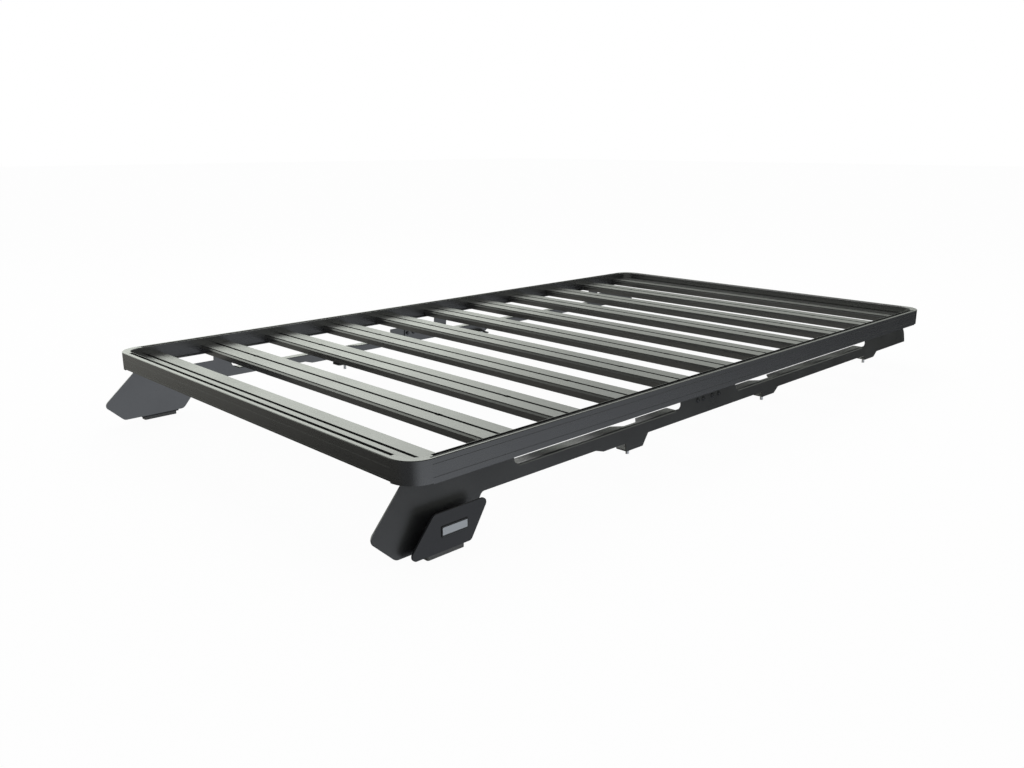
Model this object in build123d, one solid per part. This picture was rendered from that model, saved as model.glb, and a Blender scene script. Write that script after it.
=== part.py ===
from build123d import *
import os

# A flat platform roof rack: an extruded frame with slotted slats, carried on two folded foot rails.
# Millimetres. X is the rack's width, Y its length with the front end at -Y, and Z is up.
# The origin is midway along and across the rack, level with the underside of the front pads.

# Tray
TRAY_WIDTH = 1255.0
TRAY_LENGTH = 2166.0
RACK_HEIGHT = 198.0          # underside of the front pads to the top of the rails
SLAT_COUNT = 11
END_SLOT = 73.0              # end face of the tray to the slot of the first and last slat

# Rail extrusion
RAIL_WIDTH = 21.0
RAIL_WALL = 2.5
RAIL_EDGE = 1.2              # bevel of the upper edges
GROOVE_INSET = 10.0          # outer face to the groove in the top
GROOVE_WIDTH = 9.0
GROOVE_DEPTH = 9.0
LINE_WIDTH = 1.4             # fine grooves along the outer faces
SIDE_LINE_CUT = 0.8
SIDE_LINES = (11.0, 36.0)    # depth of each fine groove below the top of a side rail
END_LINE_CUT = 0.4
END_LINES = (17.0, 39.5)     # the same on an end rail
SKIRT_DROP = 4.5             # the side rail's outer wall runs this far below its floor
SKIRT_WIDTH = 5.0
LEDGE_WIDTH = 6.0            # inner ledge that carries the ends of the slats
LEDGE_HEIGHT = 2.6

# Corner castings
CORNER_RADIUS = 54.0
CORNER_DROP = 2.5            # the corner runs this far below the end rail
SPIGOT_LENGTH = 38.0
SPIGOT_GAP = 0.3             # all round, inside the rail's chamber
TONGUE_LENGTH = 10.0         # the corner fills this much of each rail's groove

# Slat extrusion
SLAT_DROP = 20.4             # top of the rails to the top of the slats
SLAT_HEIGHT = 21.0
SLAT_TOP = 82.0              # width of the flat top
SLAT_WIDTH = 87.0            # width over the shoulders
SLAT_WALL = 2.4
SHADOW_GAP = 1.0             # depth of the fine groove under the edge of the top
SHADOW_TOP = 2.2
SHADOW_LOW = 3.2
SHOULDER_LOW = 6.8           # foot of the sloping shoulder, below the top
SLOT_MOUTH = 8.5
SLOT_LIP = 3.0
SLOT_CHANNEL = 16.5
SLOT_DEPTH = 9.2             # top of the slat to the floor of the channel
UNDER_CHANNEL = 15.0         # the slot in the underside
UNDER_LIP = 2.4
UNDER_DEPTH = 7.2
NOTCH_OFFSET = 380.0         # entry notches of the top slot, from the middle of the slat
NOTCH_LENGTH = 13.0
NOTCH_WIDTH = 12.0
END_SLAT_GAP = 1.0           # between an end slat and the corners that it is cut round

# Foot rails: one folded sheet on each side, with a flange turned inward along its top
PLATE = 3.0
LEG_INSET = 31.0             # outer face of the tray to the outer face of the leg
WEB_INSET = 47.0             # and to the outer face of the web behind the joggle
JOGGLE_LENGTH = 50.0
RAISED_TOP = 61.0            # depths below the top of the rails
FLANGE_TOP = 88.0
WEB_BOTTOM = 117.0
FLANGE_WIDTH = 29.0
BEND = 4.5                   # outside radius of the fold
CUT_RADIUS = 11.0            # rounded ends of the long cut-outs
TAB_HALF = 27.0              # a slat tab reaches this far on both sides of the slat's slot
TAB_RADIUS = 6.0
SPLICE_LEAD = 99.0           # the halves meet this far in front of the slot of the middle tab's slat
MIDDLE_LEAD = 213.0          # and the raised part around the splice starts this far in front of it
FLANGE_GAP = 22.0            # between the rear end of a flange and the raised part behind it
REAR_END = 61.0              # the foot rail ends this far behind the slot of the last slat
REAR_ROUND = 32.0
SPLICE_LENGTH = 112.0
SPLICE_MARGIN = 6.0          # edge of the splice plate to the edges of the web

# Hanging feet of the foot rails
FRONT_FOOT_LEAD = -1.0       # how far a foot is in front of the slot of the slat that it is near
MIDDLE_FOOT_LEAD = 18.0
REAR_FOOT_LEAD = 5.0
FRONT_FOOT_DEPTH = 143.0     # underside of the front foot
FOOT_DEPTH = 131.0           # underside of the other two
FOOT_LENGTH = 60.0           # at its underside
FOOT_SLOPE = 24.0            # how much longer it is at its rear where it meets the web
FOOT_FLANGE = 26.0           # width of the flange that is folded inward
FOOT_ROUND = 8.0             # rounded inner corners of that flange
APRON_LEAD = 133.0           # the web hangs lower from here, in front of the front foot
APRON_SLOPE = 25.0
APRON_DEPTH = 124.5
ACCESS_LIP = 9.0             # width of the flange that is left beside a spanner notch
ACCESS_HALF = 46.0           # half the notch's length at the inner edge of the flange
ACCESS_FLOOR_HALF = 22.0     # and at the lip
CUT_PAST = 1.0               # a cut runs this far past an open edge
BOLT_RADIUS = 4.0
NECK_RADIUS = 4.3            # plain neck of the bolt, in the flange
NECK_SHOWS = 0.6             # the neck ends this far below the flange
BOLT_CLEARANCE = 0.3
BOLT_REACH = 17.0            # below the flange
BOLT_HEAD_HEIGHT = 5.3
BOLT_HEAD_FLATS = 13.0
BOLT_INSET = 13.0            # outer face of the web to the bolt

# Front legs: corners before they are rounded, as distances behind the tray's front face
LEG_TOP_FRONT = 7.0
LEG_TOP_REAR = 120.0
LEG_SHOULDER = 150.0
NOSE = -65.3
NOSE_DEPTH = 132.5
NOSE_RADIUS = 14.0
SHIN = -10.0
SHIN_RADIUS = 18.0
HEEL = 156.0
HEEL_RADIUS = 12.0
KNEE = 192.0
KNEE_RADIUS = 10.0

# Clamp plates on the outside of the legs
CLAMP_PLATE = 4.0
CLAMP_STANDOFF = 15.5        # clear gap between leg and clamp plate
CLAMP_TOP = 113.5
CLAMP_TOP_FRONT = 63.0       # corners before they are rounded, behind the tray's front face
CLAMP_TOP_REAR = 199.0
CLAMP_LOW_FRONT = 0.0
CLAMP_LOW_REAR = 152.0
CLAMP_RADIUS = 10.0
CLAMP_FLANGE_FRONT = 40.0
CLAMP_FLANGE_REAR = 141.0
SPACER_RADIUS = 8.0
SPACER_PLACES = ((70.0, 150.0), (138.0, 150.0))

# Pads under the clamp plates
PAD_HEIGHT = 8.0
PAD_FRONT = 46.0
PAD_REAR = 135.0
PAD_RADIUS = 4.0

# Derived places
HALF_WIDTH = TRAY_WIDTH / 2
INNER = HALF_WIDTH - RAIL_WIDTH
PITCH = (TRAY_LENGTH - 2 * END_SLOT) / (SLAT_COUNT - 1)
SLAT_FLOOR = SLAT_DROP + SLAT_HEIGHT
RAIL_HEIGHT = SLAT_FLOOR + LEDGE_HEIGHT
CORNER_HEIGHT = RAIL_HEIGHT + CORNER_DROP
LEG = HALF_WIDTH - LEG_INSET
WEB = HALF_WIDTH - WEB_INSET
CLAMP_FACE = LEG + CLAMP_STANDOFF + CLAMP_PLATE
CLAMP_REACH = CLAMP_PLATE + CLAMP_STANDOFF + PLATE
CLAMP_BOTTOM = RACK_HEIGHT - PAD_HEIGHT
LEG_BOTTOM = CLAMP_BOTTOM - CLAMP_PLATE


def slot_at(number):
    """Distance from the tray's front face to the slot of a slat, counted from 1."""
    return END_SLOT + (number - 1) * PITCH


# Tabs rise to the second slat, the middle one and the last but one.
REAR_TAB = SLAT_COUNT - 1
MIDDLE_TAB = (SLAT_COUNT + 1) // 2
FRONT_TAB = SLAT_COUNT - REAR_TAB + 1

FRONT_TAB_END = slot_at(FRONT_TAB) + TAB_HALF
JOGGLE_END = slot_at(FRONT_TAB) - TAB_HALF
JOGGLE_START = JOGGLE_END - JOGGLE_LENGTH
SPLICE = slot_at(MIDDLE_TAB) - SPLICE_LEAD
MIDDLE_START = slot_at(MIDDLE_TAB) - MIDDLE_LEAD
MIDDLE_END = slot_at(MIDDLE_TAB) + TAB_HALF
REAR_START = slot_at(REAR_TAB) - TAB_HALF
FOOT_RAIL_END = slot_at(SLAT_COUNT) + REAR_END

# Each foot with the slat that it is near, counted from the slat of the tab in front of it
FEET = (
    ("front", FRONT_TAB + 2, FRONT_FOOT_LEAD, FRONT_FOOT_DEPTH),
    ("middle", MIDDLE_TAB + 1, MIDDLE_FOOT_LEAD, FOOT_DEPTH),
    ("rear", REAR_TAB, REAR_FOOT_LEAD, FOOT_DEPTH),
)


def leg_outline():
    """Side view of the leg and the raised web behind it, from the front face and the top of the rails."""
    corners = [
        (LEG_TOP_FRONT, -CORNER_HEIGHT),
        (NOSE, -NOSE_DEPTH),
        (SHIN, -LEG_BOTTOM),
        (HEEL, -LEG_BOTTOM),
        (KNEE, -WEB_BOTTOM),
        (FRONT_TAB_END, -WEB_BOTTOM),
        (FRONT_TAB_END, -RAISED_TOP),
        (LEG_SHOULDER, -RAISED_TOP),
        (LEG_TOP_REAR, -CORNER_HEIGHT),
    ]
    outline = make_face(Polyline(*corners, close=True))
    for sharp, radius in zip(corners[1:], (NOSE_RADIUS, SHIN_RADIUS, HEEL_RADIUS, KNEE_RADIUS)):
        outline = fillet(outline.vertices().sort_by_distance(sharp)[0], radius)
    return outline


# The nose of the leg stands this far in front of the tray, and the origin is midway along the whole rack.
LEG_REACH = -leg_outline().bounding_box().min.X
FRONT = -(TRAY_LENGTH - LEG_REACH) / 2


def y_at(distance):
    """Model Y of a distance behind the tray's front face."""
    return FRONT + distance


def z_at(depth):
    """Model Z of a depth below the top of the rails."""
    return RACK_HEIGHT - depth


def side_plane(x):
    """A plane facing +X at x, whose local axes run along Y and Z."""
    return Plane(origin=(x, 0, 0), x_dir=(0, 1, 0), z_dir=(1, 0, 0))


def span(start, end, top, bottom):
    """A rectangle on a side plane, from distances behind the front face and depths below the rails."""
    centre = (y_at((start + end) / 2), z_at((top + bottom) / 2))
    return Pos(*centre) * Rectangle(end - start, bottom - top)


def disc(distance, depth, radius):
    """A circle on a side plane."""
    return Pos(y_at(distance), z_at(depth)) * Circle(radius)


def mirrored(shape):
    """The same piece for the rack's left side."""
    return mirror(shape, about=Plane.YZ)


def cell(inset_low, inset_high, top, bottom):
    """A rectangle of the rail's section, from insets off the outer face and depths below the top."""
    centre = ((inset_low + inset_high) / 2, -(top + bottom) / 2)
    return Pos(*centre) * Rectangle(inset_high - inset_low, bottom - top)


def rail_section(lines, line_cut, side):
    """Section of a rail: the outer face is at x = 0, the inside is towards +x and the top is at y = 0."""
    body = cell(0, RAIL_WIDTH, 0, RAIL_HEIGHT)
    if side:
        body += cell(0, SKIRT_WIDTH, RAIL_HEIGHT, RAIL_HEIGHT + SKIRT_DROP)
        body += cell(RAIL_WIDTH, RAIL_WIDTH + LEDGE_WIDTH, SLAT_FLOOR, RAIL_HEIGHT)
    top_edges = body.vertices().group_by(Axis.Y)[-1]
    body = chamfer(top_edges, RAIL_EDGE)
    body -= cell(GROOVE_INSET, GROOVE_INSET + GROOVE_WIDTH, 0, GROOVE_DEPTH)
    for depth in lines:
        body -= cell(0, line_cut, depth - LINE_WIDTH / 2, depth + LINE_WIDTH / 2)
    return body - chamber(0)


def chamber(gap):
    """The rail's hollow, or the spigot that enters it with a gap all round."""
    inset = RAIL_WALL + gap
    return cell(inset, RAIL_WIDTH - inset, GROOVE_DEPTH + inset, RAIL_HEIGHT - inset)


def tongue():
    """The corner's tongue in the groove of a rail, with a gap on both sides and below."""
    low = GROOVE_INSET + SPIGOT_GAP
    high = GROOVE_INSET + GROOVE_WIDTH - SPIGOT_GAP
    return cell(low, high, 0, GROOVE_DEPTH - SPIGOT_GAP)


def side_rail():
    """Right-hand rail, from corner to corner."""
    length = TRAY_LENGTH - 2 * CORNER_RADIUS
    start = Plane(origin=(HALF_WIDTH, y_at(CORNER_RADIUS), RACK_HEIGHT), x_dir=(-1, 0, 0), z_dir=(0, 1, 0))
    return extrude(start * rail_section(SIDE_LINES, SIDE_LINE_CUT, True), length)


def end_rail(face, inward):
    """Front or rear rail: its outer face lies at Y = face, and inward is +1 or -1 along Y."""
    half = HALF_WIDTH - CORNER_RADIUS
    start = Plane(origin=(-inward * half, face, RACK_HEIGHT), x_dir=(0, inward, 0), z_dir=(inward, 0, 0))
    return extrude(start * rail_section(END_LINES, END_LINE_CUT, False), 2 * half)


def corner():
    """Front right corner: a rounded quarter with a spigot and a tongue for each rail."""
    ring = cell(0, RAIL_WIDTH, 0, CORNER_HEIGHT)
    ring = chamfer(ring.vertices().group_by(Axis.Y)[-1], RAIL_EDGE)
    middle = (HALF_WIDTH - CORNER_RADIUS, y_at(CORNER_RADIUS), RACK_HEIGHT)
    outer = Plane(origin=(HALF_WIDTH, middle[1], RACK_HEIGHT), x_dir=(-1, 0, 0), z_dir=(0, 1, 0))
    bend = revolve(outer * ring, Axis(middle, (0, 0, -1)), 90)
    along_side = extrude(outer * chamber(SPIGOT_GAP), SPIGOT_LENGTH)
    along_side += extrude(outer * tongue(), TONGUE_LENGTH)
    front = Plane(origin=(middle[0], FRONT, RACK_HEIGHT), x_dir=(0, 1, 0), z_dir=(1, 0, 0))
    along_front = extrude(front * chamber(SPIGOT_GAP), -SPIGOT_LENGTH)
    along_front += extrude(front * tongue(), -TONGUE_LENGTH)
    return bend + along_side + along_front


def slat_section():
    """Section of a slat, with y = 0 at its top and the slot at x = 0."""
    top = SLAT_TOP / 2
    wide = SLAT_WIDTH / 2
    half = [
        (0, 0),
        (top, 0),
        (top, -SHADOW_TOP),
        (top - SHADOW_GAP, -SHADOW_TOP),
        (top - SHADOW_GAP, -SHADOW_LOW),
        (top, -SHADOW_LOW),
        (wide, -SHOULDER_LOW),
        (wide, -SLAT_HEIGHT),
        (0, -SLAT_HEIGHT),
    ]
    right = make_face(Polyline(*half, close=True))
    body = right + mirror(right, about=Plane.YZ)

    def hollow(low, high, top_depth, bottom_depth):
        centre = ((low + high) / 2, -(top_depth + bottom_depth) / 2)
        return Pos(*centre) * Rectangle(high - low, bottom_depth - top_depth)

    body -= hollow(-SLOT_MOUTH / 2, SLOT_MOUTH / 2, 0, SLOT_LIP)
    body -= hollow(-SLOT_CHANNEL / 2, SLOT_CHANNEL / 2, SLOT_LIP, SLOT_DEPTH)
    under_top = SLAT_HEIGHT - UNDER_DEPTH
    body -= hollow(-SLOT_MOUTH / 2, SLOT_MOUTH / 2, SLAT_HEIGHT - UNDER_LIP, SLAT_HEIGHT)
    body -= hollow(-UNDER_CHANNEL / 2, UNDER_CHANNEL / 2, under_top, SLAT_HEIGHT - UNDER_LIP)
    inner_wall = max(SLOT_CHANNEL, UNDER_CHANNEL) / 2 + SLAT_WALL
    outer_wall = top - SHADOW_GAP - SLAT_WALL
    for low, high in ((inner_wall, outer_wall), (-outer_wall, -inner_wall)):
        body -= hollow(low, high, SLOT_LIP, SLAT_HEIGHT - SLAT_WALL)
    return body


def plain_slat(number):
    """One slat between the side rails."""
    place = y_at(slot_at(number))
    start = Plane(origin=(-INNER, place, z_at(SLAT_DROP)), x_dir=(0, 1, 0), z_dir=(1, 0, 0))
    return extrude(start * slat_section(), 2 * INNER)


def slat(number):
    """A slat with the entry notches of its top slot."""
    bar = plain_slat(number)
    for side in (-1, 1):
        notch = Box(NOTCH_LENGTH, NOTCH_WIDTH, SLOT_LIP, align=(Align.CENTER, Align.CENTER, Align.MAX))
        bar -= Pos(side * NOTCH_OFFSET, y_at(slot_at(number)), z_at(SLAT_DROP)) * notch
    return bar


def end_slat(number, end_face, inward):
    """The first or last slat, cut round the inside of the two corners beside it."""
    bar = plain_slat(number)
    middle_y = end_face + inward * CORNER_RADIUS
    inside = CORNER_RADIUS - RAIL_WIDTH - END_SLAT_GAP
    for side in (-1, 1):
        middle_x = side * (HALF_WIDTH - CORNER_RADIUS)
        block = Box(CORNER_RADIUS, CORNER_RADIUS, RAIL_HEIGHT)
        block = Pos(middle_x + side * CORNER_RADIUS / 2, middle_y - inward * CORNER_RADIUS / 2, 0) * block
        post = Pos(middle_x, middle_y, 0) * Cylinder(inside, RAIL_HEIGHT)
        bar -= Pos(0, 0, z_at(RAIL_HEIGHT / 2)) * (block - post)
    return bar


def plate(outline, face, thickness):
    """A flat plate whose outer face lies at X = face."""
    return extrude(side_plane(face - thickness) * outline, thickness)


def front_wall():
    """The front sheet seen from above, as high as the rack: leg, joggle and web."""
    outer = [
        (LEG, y_at(-LEG_REACH)),
        (LEG, y_at(JOGGLE_START)),
        (WEB, y_at(JOGGLE_END)),
        (WEB, y_at(SPLICE)),
    ]
    inner = [(x - PLATE, y) for x, y in reversed(outer)]
    return extrude(make_face(Polyline(*outer, *inner, close=True)), RACK_HEIGHT)


def tab_outline(number):
    """Side view of the tab that rises to the underside of a slat."""
    slot = slot_at(number)
    tab = span(slot - TAB_HALF, slot + TAB_HALF, SLAT_FLOOR, WEB_BOTTOM)
    return fillet(tab.vertices().group_by(Axis.Y)[-1], TAB_RADIUS)


def cut_end(edge, toward):
    """Rounded end of a cut-out: the raised part is behind the edge for +1 and in front of it for -1."""
    centre = edge - toward * CUT_RADIUS
    low, high = sorted((edge, centre))
    rounding = span(low, high, FLANGE_TOP - CUT_RADIUS, FLANGE_TOP)
    return rounding - disc(centre, FLANGE_TOP - CUT_RADIUS, CUT_RADIUS)


def low_band(start, end):
    """Side view of the web along a cut-out between two raised parts, without the fold of its flange."""
    band = span(start, end, FLANGE_TOP, WEB_BOTTOM)
    band += cut_end(start, -1)
    band += cut_end(end, 1)
    flange_start, flange_end = flange_ends(start, end)
    return band - span(flange_start, flange_end, FLANGE_TOP, FLANGE_TOP + BEND)


def flange_ends(start, end):
    """Where the flange of a cut-out starts and ends."""
    return start + CUT_RADIUS, end - FLANGE_GAP


def angle(start, end):
    """The web along a cut-out, with the flange folded inward along its top."""
    section = cell(0, PLATE, 0, WEB_BOTTOM - FLANGE_TOP) + cell(0, FLANGE_WIDTH, 0, PLATE)
    fold = section.vertices().sort_by_distance((0, 0))[0]
    section = fillet(fold, BEND)
    plane = Plane(origin=(WEB, y_at(start), z_at(FLANGE_TOP)), x_dir=(-1, 0, 0), z_dir=(0, 1, 0))
    return extrude(plane * section, end - start)


def access_notch(distance):
    """Cut in the flange above a foot that gives room to turn its bolt."""
    slope = (ACCESS_HALF - ACCESS_FLOOR_HALF) / (FLANGE_WIDTH - ACCESS_LIP)
    half = ACCESS_HALF + slope * CUT_PAST
    corners = [
        (WEB - ACCESS_LIP, y_at(distance - ACCESS_FLOOR_HALF)),
        (WEB - ACCESS_LIP, y_at(distance + ACCESS_FLOOR_HALF)),
        (WEB - FLANGE_WIDTH - CUT_PAST, y_at(distance + half)),
        (WEB - FLANGE_WIDTH - CUT_PAST, y_at(distance - half)),
    ]
    cut = extrude(make_face(Polyline(*corners, close=True)), PLATE + 2 * CUT_PAST)
    return Pos(0, 0, z_at(FLANGE_TOP + PLATE + CUT_PAST)) * cut


def foot_outline(distance, depth):
    """Side view of a hanging foot, from the middle of the web down."""
    front = distance - FOOT_LENGTH / 2
    rear = distance + FOOT_LENGTH / 2
    middle = z_at((FLANGE_TOP + WEB_BOTTOM) / 2)
    corners = [
        (y_at(front), middle),
        (y_at(front), z_at(depth)),
        (y_at(rear), z_at(depth)),
        (y_at(rear + FOOT_SLOPE), z_at(WEB_BOTTOM)),
        (y_at(rear + FOOT_SLOPE), middle),
    ]
    return make_face(Polyline(*corners, close=True))


def apron_outline(distance):
    """Side view of the lower stretch of web in front of the front foot."""
    start = distance - APRON_LEAD
    middle = z_at((FLANGE_TOP + WEB_BOTTOM) / 2)
    corners = [
        (y_at(start), middle),
        (y_at(start), z_at(WEB_BOTTOM)),
        (y_at(start + APRON_SLOPE), z_at(APRON_DEPTH)),
        (y_at(distance), z_at(APRON_DEPTH)),
        (y_at(distance), middle),
    ]
    return make_face(Polyline(*corners, close=True))


def foot_flange(distance, depth):
    """Flange of a foot, folded inward under it and bored for the bolt."""
    flange = Box(FOOT_FLANGE, FOOT_LENGTH, PLATE, align=(Align.MAX, Align.CENTER, Align.MIN))
    flange = fillet(flange.edges().filter_by(Axis.Z).group_by(Axis.X)[0], FOOT_ROUND)
    flange -= Pos(-BOLT_INSET, 0, PLATE / 2) * Cylinder(NECK_RADIUS + BOLT_CLEARANCE, PLATE + 2 * CUT_PAST)
    return Pos(WEB, y_at(distance), z_at(depth)) * flange


def slat_flange(number):
    """Flange at the top of a slat tab, bolted up into the slat's lower slot."""
    length = 2 * (TAB_HALF - TAB_RADIUS)
    flange = Box(FLANGE_WIDTH, length, PLATE, align=(Align.MAX, Align.CENTER, Align.MAX))
    return Pos(WEB, y_at(slot_at(number)), z_at(SLAT_FLOOR)) * flange


def foot_place(number):
    """Distance and depth of one of the hanging feet, counted from 0 at the front."""
    name, near, lead, depth = FEET[number]
    return slot_at(near) - lead, depth


def front_foot_rail():
    """Right-hand front half of the foot rail, with the leg."""
    distance, depth = foot_place(0)
    outline = Pos(FRONT, RACK_HEIGHT) * leg_outline() + tab_outline(FRONT_TAB)
    outline += low_band(FRONT_TAB_END, MIDDLE_START)
    outline += span(MIDDLE_START, SPLICE, RAISED_TOP, WEB_BOTTOM)
    outline += apron_outline(distance)
    outline += foot_outline(distance, depth)
    rail = front_wall() & plate(outline, HALF_WIDTH, HALF_WIDTH)
    rail += angle(*flange_ends(FRONT_TAB_END, MIDDLE_START))
    rail += slat_flange(FRONT_TAB)
    rail += foot_flange(distance, depth)
    return rail - access_notch(distance)


def rear_foot_rail():
    """Right-hand rear half of the foot rail, rounded off at its upper rear corner."""
    outline = span(SPLICE, MIDDLE_END, RAISED_TOP, WEB_BOTTOM) + tab_outline(MIDDLE_TAB)
    outline += low_band(MIDDLE_END, REAR_START)
    end = span(REAR_START, FOOT_RAIL_END, RAISED_TOP, WEB_BOTTOM)
    upper_rear = end.vertices().group_by(Axis.Y)[-1].sort_by(Axis.X)[-1]
    outline += fillet(upper_rear, REAR_ROUND)
    outline += tab_outline(REAR_TAB)
    feet = (foot_place(1), foot_place(2))
    for distance, depth in feet:
        outline += foot_outline(distance, depth)
    rail = plate(outline, WEB, PLATE)
    rail += angle(*flange_ends(MIDDLE_END, REAR_START))
    rail += slat_flange(MIDDLE_TAB)
    rail += slat_flange(REAR_TAB)
    for distance, depth in feet:
        rail += foot_flange(distance, depth)
        rail -= access_notch(distance)
    return rail


def splice_plate():
    """Flat plate inside the web that joins the two halves of the foot rail."""
    start = SPLICE - SPLICE_LENGTH / 2
    outline = span(start, start + SPLICE_LENGTH, RAISED_TOP + SPLICE_MARGIN, WEB_BOTTOM - SPLICE_MARGIN)
    outline = fillet(outline.vertices(), SPLICE_MARGIN)
    return plate(outline, WEB - PLATE, PLATE)


def clamp_plate():
    """Clamp plate outside the leg, with a flange folded under the leg."""
    corners = [
        (y_at(CLAMP_TOP_FRONT), z_at(CLAMP_TOP)),
        (y_at(CLAMP_TOP_REAR), z_at(CLAMP_TOP)),
        (y_at(CLAMP_LOW_REAR), z_at(CLAMP_BOTTOM)),
        (y_at(CLAMP_LOW_FRONT), z_at(CLAMP_BOTTOM)),
    ]
    outline = make_face(Polyline(*corners, close=True))
    outline = fillet(outline.vertices(), CLAMP_RADIUS)
    upright = plate(outline, CLAMP_FACE, CLAMP_PLATE)
    length = CLAMP_FLANGE_REAR - CLAMP_FLANGE_FRONT
    flange = Box(CLAMP_REACH, length, CLAMP_PLATE, align=(Align.MAX, Align.MIN, Align.MIN))
    return upright + Pos(CLAMP_FACE, y_at(CLAMP_FLANGE_FRONT), z_at(CLAMP_BOTTOM)) * flange


def clamp_spacers():
    """Sleeves of the bolts that hold the clamp plate to the leg."""
    sleeves = [disc(distance, depth, SPACER_RADIUS) for distance, depth in SPACER_PLACES]
    return [extrude(side_plane(LEG) * sleeve, CLAMP_STANDOFF) for sleeve in sleeves]


def foot_pad():
    """Rubber pad under the clamp plate."""
    pad = Box(CLAMP_REACH, PAD_REAR - PAD_FRONT, PAD_HEIGHT, align=(Align.MAX, Align.MIN, Align.MIN))
    pad = fillet(pad.edges().filter_by(Axis.Z), PAD_RADIUS)
    return Pos(CLAMP_FACE, y_at(PAD_FRONT), 0) * pad


def foot_bolt(distance, depth):
    """Bolt that hangs through the flange of a foot, its head on the flange."""
    seat = z_at(depth) + PLATE
    head = extrude(RegularPolygon(BOLT_HEAD_FLATS / 2, 6, major_radius=False), BOLT_HEAD_HEIGHT)
    neck = extrude(Circle(NECK_RADIUS), -(PLATE + NECK_SHOWS))
    shank = extrude(Circle(BOLT_RADIUS), -(PLATE + BOLT_REACH))
    return Pos(WEB - BOLT_INSET, y_at(distance), seat) * (head + neck + shank)


def save(name, shape):
    """Write one node's solids to its file."""
    solids = shape if isinstance(shape, list) else shape.solids()
    export_step(Compound(children=list(solids)) if len(solids) > 1 else solids[0], f"parts/{name}.step")


def save_pair(name, shape):
    """Write a right-hand piece and its mirror image."""
    save(f"{name}_right", shape)
    if isinstance(shape, list):
        save(f"{name}_left", [mirrored(solid) for solid in shape])
    else:
        save(f"{name}_left", mirrored(shape))


os.makedirs("parts", exist_ok=True)
BACK = y_at(TRAY_LENGTH)

for slat_number in range(1, SLAT_COUNT + 1):
    if slat_number == 1:
        bar_shape = end_slat(slat_number, FRONT, 1)
    elif slat_number == SLAT_COUNT:
        bar_shape = end_slat(slat_number, BACK, -1)
    else:
        bar_shape = slat(slat_number)
    save(f"slat_{slat_number:02d}", bar_shape)

save_pair("side_rail", side_rail())
save("front_rail", end_rail(FRONT, 1))
save("rear_rail", end_rail(BACK, -1))

front_corner = corner()
tray_middle = Plane(origin=(0, (FRONT + BACK) / 2, 0), x_dir=(1, 0, 0), z_dir=(0, 1, 0))
save_pair("front_corner", front_corner)
save_pair("rear_corner", mirror(front_corner, about=tray_middle))

save_pair("foot_rail_front", front_foot_rail())
save_pair("foot_rail_rear", rear_foot_rail())
save_pair("splice_plate", splice_plate())
save_pair("clamp_plate", clamp_plate())
save_pair("clamp_spacers", clamp_spacers())
save_pair("foot_pad", foot_pad())
for foot_number, foot_sizes in enumerate(FEET):
    save_pair(f"{foot_sizes[0]}_foot_bolt", foot_bolt(*foot_place(foot_number)))
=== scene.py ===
# %% [markdown]
# # A flat platform roof rack
#
# The rack is a rim of black extrusions round eleven slotted slats, on two folded foot rails. Most of its
# shapes come from the CAD model, which is loaded first and never changed. This lesson adds what that model
# leaves out: the finishes, the lean of the foot rails' sheets, the small fasteners, the plate on each front
# foot, a pale floor, the light and the camera.

# %% Load the CAD model
import math

import bmesh
import bpy
from mathutils import Matrix, Vector


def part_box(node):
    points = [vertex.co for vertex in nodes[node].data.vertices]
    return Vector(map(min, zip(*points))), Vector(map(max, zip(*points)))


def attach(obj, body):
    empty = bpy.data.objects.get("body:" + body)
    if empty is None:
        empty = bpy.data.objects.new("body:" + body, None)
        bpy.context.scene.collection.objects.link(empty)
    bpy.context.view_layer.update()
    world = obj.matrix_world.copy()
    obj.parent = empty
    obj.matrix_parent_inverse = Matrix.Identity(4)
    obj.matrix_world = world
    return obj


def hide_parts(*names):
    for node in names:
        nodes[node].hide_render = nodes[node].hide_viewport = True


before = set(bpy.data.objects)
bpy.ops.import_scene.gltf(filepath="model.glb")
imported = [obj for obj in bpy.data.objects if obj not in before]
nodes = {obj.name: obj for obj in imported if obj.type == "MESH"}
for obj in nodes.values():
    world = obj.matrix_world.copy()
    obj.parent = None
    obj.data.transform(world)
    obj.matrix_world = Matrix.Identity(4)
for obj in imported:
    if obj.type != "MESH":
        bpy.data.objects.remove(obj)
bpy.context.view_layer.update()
print("CAD nodes:", len(nodes))

# %% [markdown]
# ## Shader maths as expressions
#
# A finish is a small sum: a noise times a strength plus a level. Node by node that is long to read, so one
# small class wraps an output socket and lets Python's operators add the Math nodes. Every other node comes
# from one method, which takes its type, its settings and what goes into its sockets. Two shorter methods
# call it for what comes up often: one part of a vector, and a mix of two colours.


# %% A socket that can be used in sums
class Flow:
    """An output socket. Sums and comparisons with numbers or other sockets add Math nodes."""

    def __init__(self, recipe, socket):
        self.recipe = recipe
        self.socket = socket

    def _math(self, operation, first, second):
        return self.recipe.node("ShaderNodeMath", {"operation": operation}, {0: first, 1: second})

    def __add__(self, other):
        return self._math("ADD", self, other)

    def __sub__(self, other):
        return self._math("SUBTRACT", self, other)

    def __mul__(self, other):
        return self._math("MULTIPLY", self, other)

    def __radd__(self, other):
        return self._math("ADD", other, self)

    def __rsub__(self, other):
        return self._math("SUBTRACT", other, self)

    def __rmul__(self, other):
        return self._math("MULTIPLY", other, self)

    def __gt__(self, other):
        return self._math("GREATER_THAN", self, other)

    def __lt__(self, other):
        return self._math("LESS_THAN", self, other)

    def __abs__(self):
        return self.recipe.node("ShaderNodeMath", {"operation": "ABSOLUTE"}, {0: self})


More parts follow.
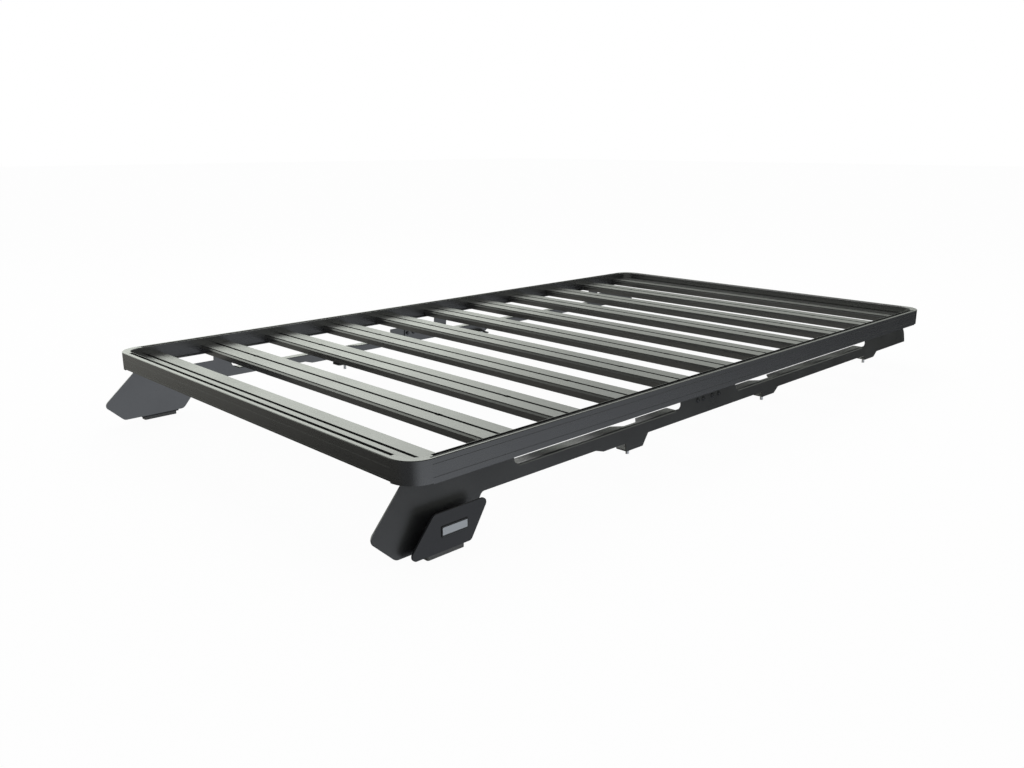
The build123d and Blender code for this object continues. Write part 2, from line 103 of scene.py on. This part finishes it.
# %% A recipe that fills a node tree
class Recipe:
    """Builds one material's or world's nodes."""

    def __init__(self, owner):
        owner.use_nodes = True
        self.owner = owner
        self.tree = owner.node_tree
        self.tree.nodes.clear()

    def node(self, kind, settings=None, inputs=None, output=0):
        made = self.tree.nodes.new(kind)
        for name, value in (settings or {}).items():
            setattr(made, name, value)
        for name, value in (inputs or {}).items():
            if isinstance(value, Flow):
                self.tree.links.new(value.socket, made.inputs[name])
            else:
                made.inputs[name].default_value = value
        return Flow(self, made.outputs[output] if made.outputs else None)

    def part(self, vector, number):
        """The x, y or z of a vector, by its number."""
        return self.node("ShaderNodeSeparateXYZ", None, {0: vector}, number)

    def between(self, factor, first, second):
        """A mix of two colours. Sockets 6 and 7 and output 2 are the Mix node's colours."""
        colours = {"Factor": factor, 6: first, 7: second}
        return self.node("ShaderNodeMix", {"data_type": "RGBA"}, colours, 2)

    def finish(self, shader, kind="ShaderNodeOutputMaterial"):
        self.node(kind, None, {"Surface": shader})
        return self.owner


def new_recipe(name):
    return Recipe(bpy.data.materials.new(name))


def times(colour, shares):
    """A colour with each of its three parts multiplied, and no transparency."""
    return (*(part * share for part, share in zip(colour, shares)), 1.0)


# %% [markdown]
# ## The satin black coat
#
# Rails, slats and feet are powder coated. Powder melts into a skin that is not quite flat: it has a fine
# orange peel about a millimetre across, and its gloss drifts a little over a hand's width. Both come from
# noise in the object's own coordinates, so neighbouring pieces do not repeat each other. Extrusions also keep
# faint drawing lines along their length, which a noise that is stretched along one axis gives. The clamp
# plates have a duller coat than the rest.
#
# In the photograph the side rails' groove looks wider than in the CAD model, and the lip outside it narrower.
# So shade is painted on the inner half of that lip, on faces that look up, where the wider groove would be
# dark.

# %% What the coat is made of
PEEL_SCALE, DRIFT_SCALE = 700.0, 9.0
LINES_ACROSS, LINES_ALONG = 260.0, 0.6
NOISE_MEAN = 0.5
DRIFT_IN_GLOSS, PEEL_IN_GLOSS, LINES_IN_GLOSS = 0.10, 0.06, 0.08
DRIFT_IN_TONE, PEEL_IN_TONE = 0.7, 0.3
LINES_IN_HEIGHT = 0.35
DARKER = (0.8, 0.8, 0.8)
LIGHTER = (1.25, 1.25, 1.25)
GLOSSY_IOR, DULL_IOR = 2.0, 1.45
FACING_UP = 0.2
STRIP_SHADE = 0.85


# %% Powder coat
def powder_coat(name, colour, roughness, peel, drawn_axis=None, ior=GLOSSY_IOR, painted_shade_strip=None):
    """drawn_axis: along which the drawing lines run. painted_shade_strip: inner and outer edge of a strip of
    painted shade.
    """
    recipe = new_recipe(name)
    place = recipe.node("ShaderNodeTexCoord", output="Object")
    peel_noise = {"Vector": place, "Scale": PEEL_SCALE, "Detail": 3.0, "Roughness": 0.55}
    grain = recipe.node("ShaderNodeTexNoise", None, peel_noise)
    drift = recipe.node("ShaderNodeTexNoise", None, {"Vector": place, "Scale": DRIFT_SCALE, "Detail": 2.0})
    height = grain * peel
    gloss = roughness + (drift - NOISE_MEAN) * DRIFT_IN_GLOSS + (grain - NOISE_MEAN) * PEEL_IN_GLOSS
    if drawn_axis is not None:
        stretch = Vector((LINES_ACROSS, LINES_ACROSS, LINES_ACROSS))
        stretch[drawn_axis] = LINES_ALONG
        along = recipe.node("ShaderNodeVectorMath", {"operation": "MULTIPLY"}, {0: place, 1: stretch})
        lines = recipe.node("ShaderNodeTexNoise", None, {"Vector": along, "Scale": 1.0, "Detail": 2.0})
        height = height + lines * LINES_IN_HEIGHT
        gloss = gloss + (lines - NOISE_MEAN) * LINES_IN_GLOSS
    dark = times(colour, DARKER)
    tone = recipe.between(drift * DRIFT_IN_TONE + grain * PEEL_IN_TONE, dark, times(colour, LIGHTER))
    bump = recipe.node("ShaderNodeBump", None, {"Height": height, "Strength": 0.22, "Distance": 0.00035})
    coat = recipe.node("ShaderNodeBsdfPrincipled", None, {
        "Base Color": tone,
        "Roughness": gloss,
        "IOR": ior,
        "Normal": bump,
    })
    # Painted shade: a black diffuse is mixed in on upward faces between two distances across the rack
    if painted_shade_strip is not None:
        inner, outer = painted_shade_strip
        across = abs(recipe.part(place, 0))
        upward = recipe.part(recipe.node("ShaderNodeNewGeometry", output="Normal"), 2)
        strip = (across > inner) * (across < outer) * (upward > FACING_UP) * STRIP_SHADE
        shade = recipe.node("ShaderNodeBsdfDiffuse", None, {"Color": dark})
        coat = recipe.node("ShaderNodeMixShader", None, {0: strip, 1: coat, 2: shade})
    return recipe.finish(coat)


# %% The coats of this rack
# How far the two edges of the strip of painted shade lie inward of the rack's side
STRIP_INNER, STRIP_OUTER = 0.0099, 0.0050
half_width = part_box("side_rail_right")[1].x
painted_lip_shade = (half_width - STRIP_INNER, half_width - STRIP_OUTER)
slat_coat = powder_coat("slat_satin_black", (0.010, 0.010, 0.010), 0.30, 0.8, drawn_axis=0)
side_coat = powder_coat(
    "side_rail_satin_black", (0.011, 0.011, 0.012), 0.28, 0.8, drawn_axis=1, painted_shade_strip=painted_lip_shade
)
end_coat = powder_coat("end_rail_satin_black", (0.011, 0.011, 0.011), 0.28, 0.8, drawn_axis=0)
corner_coat = powder_coat("corner_satin_black", (0.011, 0.011, 0.011), 0.28, 1.1)
foot_coat = powder_coat("foot_plate_satin_black", (0.010, 0.010, 0.011), 0.30, 1.4)
clamp_coat = powder_coat("clamp_plate_satin_black", (0.010, 0.010, 0.012), 0.30, 1.4, ior=DULL_IOR)
print("powder coats made, shaded lip from and to:", painted_lip_shade)

# %% [markdown]
# ## Zinc and rubber
#
# The bolts are zinc plated, a pale metal with a slight spangle, for which the gloss follows the cells of a
# Voronoi texture. The splice's fasteners and the clamp plates' sleeves have the same plating in black. The
# pads are matt rubber with a dusty, pitted skin.

# %% Zinc plate
SPANGLE_SCALE, HAZE_SCALE = 420.0, 160.0
SPANGLE_IN_GLOSS, HAZE_IN_GLOSS = 0.12, 0.1
DULLER = (0.75, 0.75, 0.76)


def zinc_plate(name, colour, roughness):
    recipe = new_recipe(name)
    place = recipe.node("ShaderNodeTexCoord", output="Object")
    spangle = recipe.node("ShaderNodeTexVoronoi", None, {"Vector": place, "Scale": SPANGLE_SCALE})
    haze = recipe.node("ShaderNodeTexNoise", None, {"Vector": place, "Scale": HAZE_SCALE, "Detail": 3.0})
    bump = recipe.node("ShaderNodeBump", None, {"Height": haze, "Strength": 0.15, "Distance": 0.0002})
    steel = recipe.node("ShaderNodeBsdfPrincipled", None, {
        "Base Color": recipe.between(haze, times(colour, DULLER), (*colour, 1.0)),
        "Metallic": 1.0,
        "Roughness": roughness + spangle * SPANGLE_IN_GLOSS + haze * HAZE_IN_GLOSS,
        "Normal": bump,
    })
    return recipe.finish(steel)


zinc = zinc_plate("bright_zinc", (0.74, 0.74, 0.75), 0.22)
black_zinc = zinc_plate("black_zinc", (0.10, 0.10, 0.105), 0.30)
print("zinc plating made")

# %% Rubber
PIT_SCALE, DUST_SCALE = 900.0, 60.0
CLEAN_RUBBER = (0.014, 0.014, 0.014, 1.0)
DUSTY_RUBBER = (0.045, 0.042, 0.038, 1.0)
CLEAN_ROUGHNESS, DUST_IN_GLOSS = 0.42, 0.25


def matt_rubber(name):
    recipe = new_recipe(name)
    place = recipe.node("ShaderNodeTexCoord", output="Object")
    pit_noise = {"Vector": place, "Scale": PIT_SCALE, "Detail": 4.0, "Roughness": 0.7}
    pits = recipe.node("ShaderNodeTexNoise", None, pit_noise)
    dust = recipe.node("ShaderNodeTexNoise", None, {"Vector": place, "Scale": DUST_SCALE, "Detail": 3.0})
    bump = recipe.node("ShaderNodeBump", None, {"Height": pits, "Strength": 0.4, "Distance": 0.0004})
    skin = recipe.node("ShaderNodeBsdfPrincipled", None, {
        "Base Color": recipe.between(dust, CLEAN_RUBBER, DUSTY_RUBBER),
        "Roughness": CLEAN_ROUGHNESS + dust * DUST_IN_GLOSS,
        "IOR": 1.9,
        "Normal": bump,
    })
    return recipe.finish(skin)


rubber = matt_rubber("pad_rubber_skin")
print("rubber made")

# %% [markdown]
# ## Dressing the CAD nodes
#
# Each node keeps its mesh and gets one of the finishes by its name. The two directions of the rim need two
# coats, because the drawing lines run along each rail.

# %% Give every node its finish
FINISHES = (
    ("slat_", slat_coat),
    ("side_rail", side_coat),
    ("front_rail", end_coat),
    ("rear_rail", end_coat),
    ("front_corner", corner_coat),
    ("rear_corner", corner_coat),
    ("foot_pad", rubber),
    ("front_foot_bolt", zinc),
    ("middle_foot_bolt", zinc),
    ("rear_foot_bolt", zinc),
    ("clamp_spacers", black_zinc),
    ("clamp_plate", clamp_coat),
    ("", foot_coat),
)
for name, node in nodes.items():
    finish = next(coat for start, coat in FINISHES if name.startswith(start))
    node.data.materials.clear()
    node.data.materials.append(finish)
print("dressed nodes:", len(nodes))

# %% [markdown]
# ## The leaning sheet of the foot rails
#
# The CAD model has each foot rail's sheet upright, with a step between leg and web. One plane that leans
# inward all the way up fits the photograph better. So in copies of the CAD meshes the sheet's points are
# moved onto that plane, while the flanges keep their inner edges and bolt holes. The leg's front edge and
# knee lean back with it, and its top comes up under the first slat. The splice plates follow the sheet, and
# the sleeves behind the clamp plates grow to reach it. Moving the points of a copy keeps every notch and hole
# of the CAD model, so nothing has to be cut again.

# %% Where the sheet stands
LEAN = 0.14
SHEET = 0.003
LEG_INSET, WEB_INSET, LEANING_INSET = 0.031, 0.047, 0.033
LEG_DEPTH = 0.186
STEP_START, STEP_END = 0.198, 0.248
rail_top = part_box("side_rail_right")[1].z
front_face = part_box("front_rail")[0].y
slat_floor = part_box("slat_01")[0].z
leg_x = half_width - LEG_INSET
web_x = half_width - WEB_INSET
leg_foot = rail_top - LEG_DEPTH
# Read here, before the rear halves are replaced
splice_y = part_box("foot_rail_rear_right")[0].y


def leaning_x(z):
    return half_width - LEANING_INSET - (z - leg_foot) * LEAN


def upright_x(y):
    part = (y - front_face - STEP_START) / (STEP_END - STEP_START)
    return leg_x + (web_x - leg_x) * min(max(part, 0.0), 1.0)


print("sheet across, at its foot and under the slats:", leaning_x(leg_foot), leaning_x(slat_floor))

# %% Move the points
# Lengths run back from the rack's front face, heights up from the leg's foot
TOP_LENGTH, TOP_HEIGHT = 0.13, 0.139
TOP_SETBACK, SLAT_ROOM = 0.029, 0.0002
FRONT_LENGTH, FRONT_SLOPE = 0.06, 0.09
NOSE_HEIGHT, NOSE_DROP = 0.03, 0.004
KNEE_START, KNEE_END = 0.15, 0.215
KNEE_HEIGHT, KNEE_SLOPE = 0.086, 0.24
FOLD_ROOM, SLEEVE_ROOM = 0.0006, 0.001


def lean_point(x, y, z):
    behind = upright_x(y) - x
    if behind > SHEET + FOLD_ROOM:
        return x, y, z
    along = y - front_face
    height = z - leg_foot
    if along < TOP_LENGTH and height > TOP_HEIGHT:
        z = slat_floor - SLAT_ROOM
        y += TOP_SETBACK if along < FRONT_LENGTH else 0.0
    elif along < FRONT_LENGTH:
        y += FRONT_SLOPE * height
        z -= NOSE_DROP if height > NOSE_HEIGHT else 0.0
    elif KNEE_START < along < KNEE_END and height < KNEE_HEIGHT:
        y += KNEE_SLOPE * height
    return leaning_x(z) - behind, y, z


def splice_point(x, y, z):
    return x - web_x + leaning_x(z), y, z


def sleeve_point(x, y, z):
    return (leaning_x(z) if x < leg_x + SLEEVE_ROOM else x), y, z


# %% [markdown]
# ## From a mesh to a piece
#
# Every added piece ends in the same steps: its mesh becomes data with its finishes, the data gets an object,
# and that object rides on the rack. Two helpers take these up.


# %% Data and piece
def mesh_data(name, mesh, *finishes):
    data = bpy.data.meshes.new(name)
    mesh.to_mesh(data)
    mesh.free()
    for finish in finishes:
        data.materials.append(finish)
    return data


def add_piece(name, data):
    piece = bpy.data.objects.new(name, data)
    bpy.context.scene.collection.objects.link(piece)
    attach(piece, "root")
    return piece


# %% Leaning copies on both sides
SIDES = ((1, "right"), (-1, "left"))
LEANING = (
    ("foot_rail_front", lean_point, "foot_coat"),
    ("foot_rail_rear", lean_point, "foot_coat"),
    ("splice_plate", splice_point, "foot_coat"),
    ("clamp_spacers", sleeve_point, "zinc_steel"),
)


def leaning_copy(name, side, move):
    node = nodes[name]
    mesh = bmesh.new()
    mesh.from_mesh(node.data)
    mesh.transform(node.matrix_world)
    for vert in mesh.verts:
        x, y, z = move(side * vert.co.x, vert.co.y, vert.co.z)
        vert.co = (side * x, y, z)
    for face in mesh.faces:
        face.smooth = False
    data = mesh_data(name + "_leaning", mesh, node.data.materials[0])
    piece = add_piece(name + "_leaning", data)
    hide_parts(name)


for side, label in SIDES:
    for start, move, slot in LEANING:
        leaning_copy(f"{start}_{label}", side, move)
print("leaning pieces:", len(SIDES) * len(LEANING))

# %% [markdown]
# ## Fasteners
#
# A bolt head, a washer and a nut are all turned shapes, and a socket or a hexagon is a turned shape whose
# radius follows six flats. So one helper lays rings of points along an axis, round or hexagonal, and another
# skins them.


# %% A skin over rows of points
def skin_rows(mesh, rows):
    """Joins rows of equally many points, closes both ends and gives back the last face."""
    count = len(rows[0])
    for low, high in zip(rows, rows[1:]):
        for step in range(count):
            after = (step + 1) % count
            mesh.faces.new((low[step], low[after], high[after], high[step]))
    mesh.faces.new(list(reversed(rows[0])))
    return mesh.faces.new(rows[-1])


# %% Turned pieces
RING = 36


def ring_radius(angle, radius, flats):
    if not flats:
        return radius
    turn = (angle + math.pi / 6) % (math.pi / 3) - math.pi / 6
    return radius / math.cos(turn)


def turned(name, rings, place, axis):
    """rings: (radius, height, flats) from the seat outward; flats True makes radius the hexagon's apothem."""
    mesh = bmesh.new()
    rows = []
    for radius, height, flats in rings:
        row = []
        for step in range(RING):
            angle = 2 * math.pi * step / RING
            reach = ring_radius(angle, radius, flats)
            row.append(mesh.verts.new((reach * math.cos(angle), reach * math.sin(angle), height)))
        rows.append(row)
    skin_rows(mesh, rows)
    data = mesh_data(name, mesh, black_zinc)
    turn = Vector((0, 0, 1)).rotation_difference(axis).to_matrix().to_4x4()
    data.transform(Matrix.Translation(place) @ turn)
    add_piece(name, data)


# %% Profiles in metres
HEAD_SWEEP, HEAD_STEPS = math.radians(68), 6
SOCKET_RIM, SOCKET_FLOOR = 1.18, 0.4
WASHER_BEVEL = 0.25
NUT_SHOULDER, NUT_TOP = 0.86, 0.93


def button_head(radius, height, socket):
    rings = [(radius, 0.0, False)]
    for part in range(1, HEAD_STEPS + 1):
        angle = part / HEAD_STEPS * HEAD_SWEEP
        rings.append((radius * math.cos(angle), height * math.sin(angle) / math.sin(HEAD_SWEEP), False))
    rings.append((socket * SOCKET_RIM, height, False))
    rings.append((socket, height, True))
    rings.append((socket, height * SOCKET_FLOOR, True))
    return rings


def washer(radius, thickness):
    bevel = thickness * WASHER_BEVEL
    return [
        (radius - bevel, 0.0, False),
        (radius, bevel, False),
        (radius, thickness - bevel, False),
        (radius - bevel, thickness, False),
    ]


def hex_nut(apothem, height):
    return [
        (apothem, 0.0, True),
        (apothem, height * NUT_SHOULDER, True),
        (apothem * NUT_TOP, height, False),
    ]


# %% [markdown]
# ## Splice bolts
#
# Each foot rail is made in two lengths, joined by a plate inside the web. Four black bolts hold it, and
# their heads are the dark dots in the middle of the rail. Each head sits on a washer on the web's outer face,
# with a nut inside, and all stand square to the leaning sheet.

# %% Splice bolts on both sides
SPLICE_BOLTS = (-0.045, -0.020, 0.019, 0.048)
BOLT_DROP = 0.0815
WASHER_RADIUS, WASHER_THICKNESS = 0.0065, 0.0012
HEAD_RADIUS, HEAD_HEIGHT, SOCKET_APOTHEM = 0.0048, 0.0028, 0.002
NUT_APOTHEM, NUT_HEIGHT = 0.005, 0.005
bolt_z = rail_top - BOLT_DROP
washer_rings = washer(WASHER_RADIUS, WASHER_THICKNESS)
head_rings = button_head(HEAD_RADIUS, HEAD_HEIGHT, SOCKET_APOTHEM)
nut_rings = hex_nut(NUT_APOTHEM, NUT_HEIGHT)
for side, label in SIDES:
    axis = Vector((side, 0, LEAN)).normalized()
    for number, offset in enumerate(SPLICE_BOLTS, 1):
        seat = Vector((side * leaning_x(bolt_z), splice_y + offset, bolt_z))
        turned(f"splice_washer_{label}_{number}", washer_rings, seat, axis)
        turned(f"splice_bolt_{label}_{number}", head_rings, seat + axis * WASHER_THICKNESS, axis)
        # The web and the splice plate lie between the head and the nut
        turned(f"splice_nut_{label}_{number}", nut_rings, seat - axis * 2 * SHEET, -axis)
print("splice bolts:", len(SIDES) * len(SPLICE_BOLTS))

# %% [markdown]
# ## The plate on each front foot
#
# A small plate is fixed to the face of each clamp plate. It is left bare here: a shallow tray with a raised
# black rim and a plain field of brushed metal. The tray is a stack of rounded outlines under one skin, and
# the brushing is a noise that is stretched along the plate.

# %% Rounded outline
CORNER_STEPS = 5


def rounded_outline(width, height, radius):
    points = []
    for quarter, (right, up) in enumerate(((1, 1), (-1, 1), (-1, -1), (1, -1))):
        middle = (right * (width / 2 - radius), up * (height / 2 - radius))
        for step in range(CORNER_STEPS + 1):
            angle = math.pi / 2 * (quarter + step / CORNER_STEPS)
            points.append((middle[0] + radius * math.cos(angle), middle[1] + radius * math.sin(angle)))
    return points


# %% Brushed metal
HAIRS_ACROSS, HAIRS_ALONG = 900.0, 18.0
DARK_HAIR = (0.36, 0.37, 0.38, 1.0)
PALE_HAIR = (0.56, 0.57, 0.58, 1.0)
FIELD_ROUGHNESS, HAIRS_IN_GLOSS = 0.34, 0.16


def brushed_metal(name):
    recipe = new_recipe(name)
    place = recipe.node("ShaderNodeTexCoord", output="Object")
    stretch = (HAIRS_ACROSS, HAIRS_ALONG, HAIRS_ACROSS)
    along = recipe.node("ShaderNodeVectorMath", {"operation": "MULTIPLY"}, {0: place, 1: stretch})
    hairs = recipe.node("ShaderNodeTexNoise", None, {"Vector": along, "Scale": 1.0, "Detail": 3.0})
    metal = recipe.node("ShaderNodeBsdfPrincipled", None, {
        "Base Color": recipe.between(hairs, DARK_HAIR, PALE_HAIR),
        "Metallic": 1.0,
        "Roughness": FIELD_ROUGHNESS + hairs * HAIRS_IN_GLOSS,
    })
    return recipe.finish(metal)


rim_coat = powder_coat("bare_plate_black", (0.008, 0.008, 0.008), 0.32, 0.5, ior=DULL_IOR)
plate_field = brushed_metal("bare_plate_brushed")
print("plate finishes made")

# %% Plain plates
# Width, height, corner radius and lift of each outline, from the back to the field
PLATE_LAYERS = (
    (0.066, 0.0222, 0.0030, 0.0),
    (0.066, 0.0222, 0.0030, 0.0011),
    (0.0652, 0.0214, 0.0026, 0.0016),
    (0.0610, 0.0158, 0.0020, 0.0016),
    (0.0604, 0.0150, 0.0018, 0.0009),
)
PLATE_BACK, PLATE_DROP = 0.112, 0.1515
clamp_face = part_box("clamp_plate_right")[1].x


def plain_plate(name, place, side):
    mesh = bmesh.new()
    rows = []
    for width, height, radius, lift in PLATE_LAYERS:
        outline = rounded_outline(width, height, radius)
        rows.append([mesh.verts.new((side * lift, side * u, v)) for u, v in outline])
    skin_rows(mesh, rows).material_index = 1
    data = mesh_data(name, mesh, rim_coat, plate_field)
    data.transform(Matrix.Translation(place))
    add_piece(name, data)


for side, label in SIDES:
    place = Vector((side * clamp_face, front_face + PLATE_BACK, rail_top - PLATE_DROP))
    plain_plate(f"bare_plate_{label}", place, side)
print("bare plates:", len(SIDES))

# %% [markdown]
# ## Floor
#
# The rack stands on a pale floor that runs out to white. The floor catches a soft shadow, and to the camera
# it is lifted nearly to white, which leaves the light on the rack alone. Reflections pass through it.

# %% Floor
FLOOR_REACH, FLOOR_DROP = 30, 0.0006
FLOOR_GREY = (0.82, 0.82, 0.82, 1.0)
WHITE = (1.0, 1.0, 1.0, 1.0)
FLOOR_LIFT = 0.96
corners = [(FLOOR_REACH * x, FLOOR_REACH * y, 0) for x, y in ((-1, -1), (1, -1), (1, 1), (-1, 1))]
floor_mesh = bpy.data.meshes.new("floor")
floor_mesh.from_pydata(corners, [], [(0, 1, 2, 3)])
floor = bpy.data.objects.new("floor", floor_mesh)
floor.location.z = -FLOOR_DROP
bpy.context.scene.collection.objects.link(floor)
recipe = new_recipe("pale_floor")
pale = recipe.node("ShaderNodeBsdfDiffuse", None, {"Color": FLOOR_GREY})
white = recipe.node("ShaderNodeEmission", None, {"Color": WHITE, "Strength": 1.0})
clear = recipe.node("ShaderNodeBsdfTransparent")
camera_ray = recipe.node("ShaderNodeLightPath", output="Is Camera Ray")
glossy_ray = recipe.node("ShaderNodeLightPath", output="Is Glossy Ray")
lifted = recipe.node("ShaderNodeMixShader", None, {0: camera_ray * FLOOR_LIFT, 1: pale, 2: white})
passed = recipe.node("ShaderNodeMixShader", None, {0: glossy_ray, 1: lifted, 2: clear})
floor_mesh.materials.append(recipe.finish(passed))
print("floor placed")

# %% [markdown]
# ## What the coat mirrors
#
# A black coat shows little but its reflections, so the surroundings that it mirrors matter more than the
# lamp. Above the horizon they are white, brighter to the left, where the slats mirror them, and dark
# overhead. Below it they are dark, except for a pale sweep to the right that brightens downward, and a dimmer
# card in front. They are fitted to the photograph's tones, and painted into the world for mirror rays alone,
# so that the camera still sees a white background.

# %% Where the surroundings are bright
# A pair is the start and the end of a ramp, along a part of the direction that a ray takes
HORIZON, UPPER_LIGHT = (-0.02, 0.04), 0.88
OVERHEAD, OVERHEAD_DIM = (0.42, 0.62), 0.92
LEFT, LEFT_EXTRA = (-0.64, -0.76), 1.15
SWEEP_X, SWEEP_Y = 0.966, 0.259
SWEEP_ROUND, SWEEP_DOWN, SWEEP_LIGHT = (0.40, 0.85), (-0.10, -0.43), 1.1
CARD_ROUND, CARD_UP, CARD_LIGHT = (0.1, -0.2), (-0.34, -0.02), 0.93
TINT_SIDES = (-0.3, 0.3)
LEFT_TINT = (1.03, 1.02, 0.93, 1.0)
RIGHT_TINT = (0.93, 0.98, 1.05, 1.0)
UPPER_TINT = (0.97, 1.02, 0.93, 1.0)
SKY_LIGHT = 0.75


def ramp(value, low, high):
    """0 at low, 1 at high, and straight between them."""
    limits = {"Value": value, "From Min": low, "From Max": high}
    return value.recipe.node("ShaderNodeMapRange", {"clamp": True}, limits)


# %% World
world = bpy.data.worlds.new("studio")
bpy.context.scene.world = world
recipe = Recipe(world)
look = recipe.node("ShaderNodeTexCoord", output="Generated")
look_x, look_y, look_z = (recipe.part(look, number) for number in range(3))
above = ramp(look_z, *HORIZON)
zenith = ramp(look_z, *OVERHEAD)
upper = above * (UPPER_LIGHT + ramp(look_x, *LEFT) * LEFT_EXTRA) * (1.0 - zenith * OVERHEAD_DIM)
sweep_side = ramp(look_x * SWEEP_X + look_y * SWEEP_Y, *SWEEP_ROUND)
sweep = sweep_side * ramp(look_z, *SWEEP_DOWN) * SWEEP_LIGHT
card = ramp(look_y, *CARD_ROUND) * ramp(look_z, *CARD_UP) * CARD_LIGHT
lower = recipe.node("ShaderNodeMath", {"operation": "MAXIMUM"}, {0: sweep, 1: card})
mirrored_light = upper + (1.0 - above) * lower
lower_tint = recipe.between(ramp(look_x, *TINT_SIDES), LEFT_TINT, RIGHT_TINT)
tint = recipe.between(above, lower_tint, UPPER_TINT)
sky = recipe.node("ShaderNodeBackground", None, {"Color": WHITE, "Strength": SKY_LIGHT})
back = recipe.node("ShaderNodeBackground", None, {"Color": WHITE, "Strength": 1.0})
mirror = recipe.node("ShaderNodeBackground", None, {"Color": tint, "Strength": mirrored_light})
camera_ray = recipe.node("ShaderNodeLightPath", output="Is Camera Ray")
glossy_ray = recipe.node("ShaderNodeLightPath", output="Is Glossy Ray")
seen = recipe.node("ShaderNodeMixShader", None, {0: camera_ray, 1: sky, 2: back})
mixed = recipe.node("ShaderNodeMixShader", None, {0: glossy_ray, 1: seen, 2: mirror})
recipe.finish(mixed, "ShaderNodeOutputWorld")
print("world made")

# %% [markdown]
# ## Lamp and camera
#
# One wide softbox hangs high at the rear left of the rack. The camera stands where the photograph fits best:
# its place, angles and lens were fitted to the tray's edges and the lines of the eleven slots.

# %% Softbox
SOFTBOX_PLACE = Vector((-1.6, 1.2, 3.2))
SOFTBOX_TARGET = Vector((0, 0, 0.15))
SOFTBOX_SIZE, SOFTBOX_POWER = 3.0, 60
lamp = bpy.data.lights.new("overhead_softbox", "AREA")
lamp.shape = "RECTANGLE"
lamp.size = SOFTBOX_SIZE
lamp.size_y = SOFTBOX_SIZE
lamp.energy = SOFTBOX_POWER
holder = bpy.data.objects.new("overhead_softbox", lamp)
holder.location = SOFTBOX_PLACE
aim = SOFTBOX_TARGET - SOFTBOX_PLACE
holder.rotation_euler = aim.to_track_quat("-Z", "Y").to_euler()
bpy.context.scene.collection.objects.link(holder)
print("softbox placed, watts:", SOFTBOX_POWER)

# %% Camera
CAMERA_PLACE = (1.7905, -1.949, 0.732)
LOOK_DOWN, LOOK_ROUND = 14.95, 45.47
LENS, SENSOR = 31.81, 36.0
camera = bpy.data.cameras.new("camera")
camera.sensor_width = SENSOR
camera.lens = LENS
camera.clip_end = 100.0
viewpoint = bpy.data.objects.new("camera", camera)
viewpoint.location = CAMERA_PLACE
viewpoint.rotation_euler = (math.radians(90 - LOOK_DOWN), 0.0, math.radians(LOOK_ROUND))
bpy.context.scene.collection.objects.link(viewpoint)
bpy.context.scene.camera = viewpoint
bpy.context.scene.view_settings.view_transform = "Standard"
print("camera placed, lens in millimetres:", LENS)
